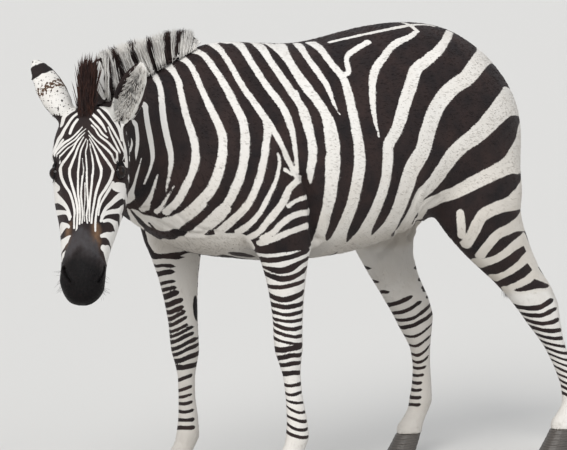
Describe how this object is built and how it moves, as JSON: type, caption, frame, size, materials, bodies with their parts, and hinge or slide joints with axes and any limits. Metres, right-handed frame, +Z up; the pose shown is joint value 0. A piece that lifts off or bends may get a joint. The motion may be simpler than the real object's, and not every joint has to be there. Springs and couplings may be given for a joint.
{
  "type": "zebra",
  "caption": "Life-size standing plains zebra with lowered head turned to its left, upright striped mane, cupped ears, tufted tail and flat-soled hooves.",
  "frame": {"origin": "centre of the bounding box's base, on the floor between the hooves", "axes": "the animal faces -Y, its left side is +X, +Z up"},
  "size_m": [0.6253, 1.8356, 1.3231],
  "materials": {
    "coat": "short hair in dark brown-black and off-white stripes",
    "eye": "wet gloss, near black-brown",
    "mane": "stiff upright hair, striped with the neck",
    "tuft": "long coarse hair, near black",
    "hoof": "dull dark grey horn with fine growth rings"
  },
  "bodies": {
    "root": {"trunk": "coat", "neck": "coat", "head": "coat", "ear_left": "coat", "ear_right": "coat", "eye_left": "eye", "eye_right": "eye", "mane": "mane", "tail": "coat", "tail_tuft": "tuft", "fore_leg_left_upper": "coat", "fore_leg_left_lower": "coat", "fore_hoof_left": "hoof", "fore_leg_right_upper": "coat", "fore_leg_right_lower": "coat", "fore_hoof_right": "hoof", "hind_leg_left_upper": "coat", "hind_leg_left_lower": "coat", "hind_hoof_left": "hoof", "hind_leg_right_upper": "coat", "hind_leg_right_lower": "coat", "hind_hoof_right": "hoof"}
  },
  "joints": []
}
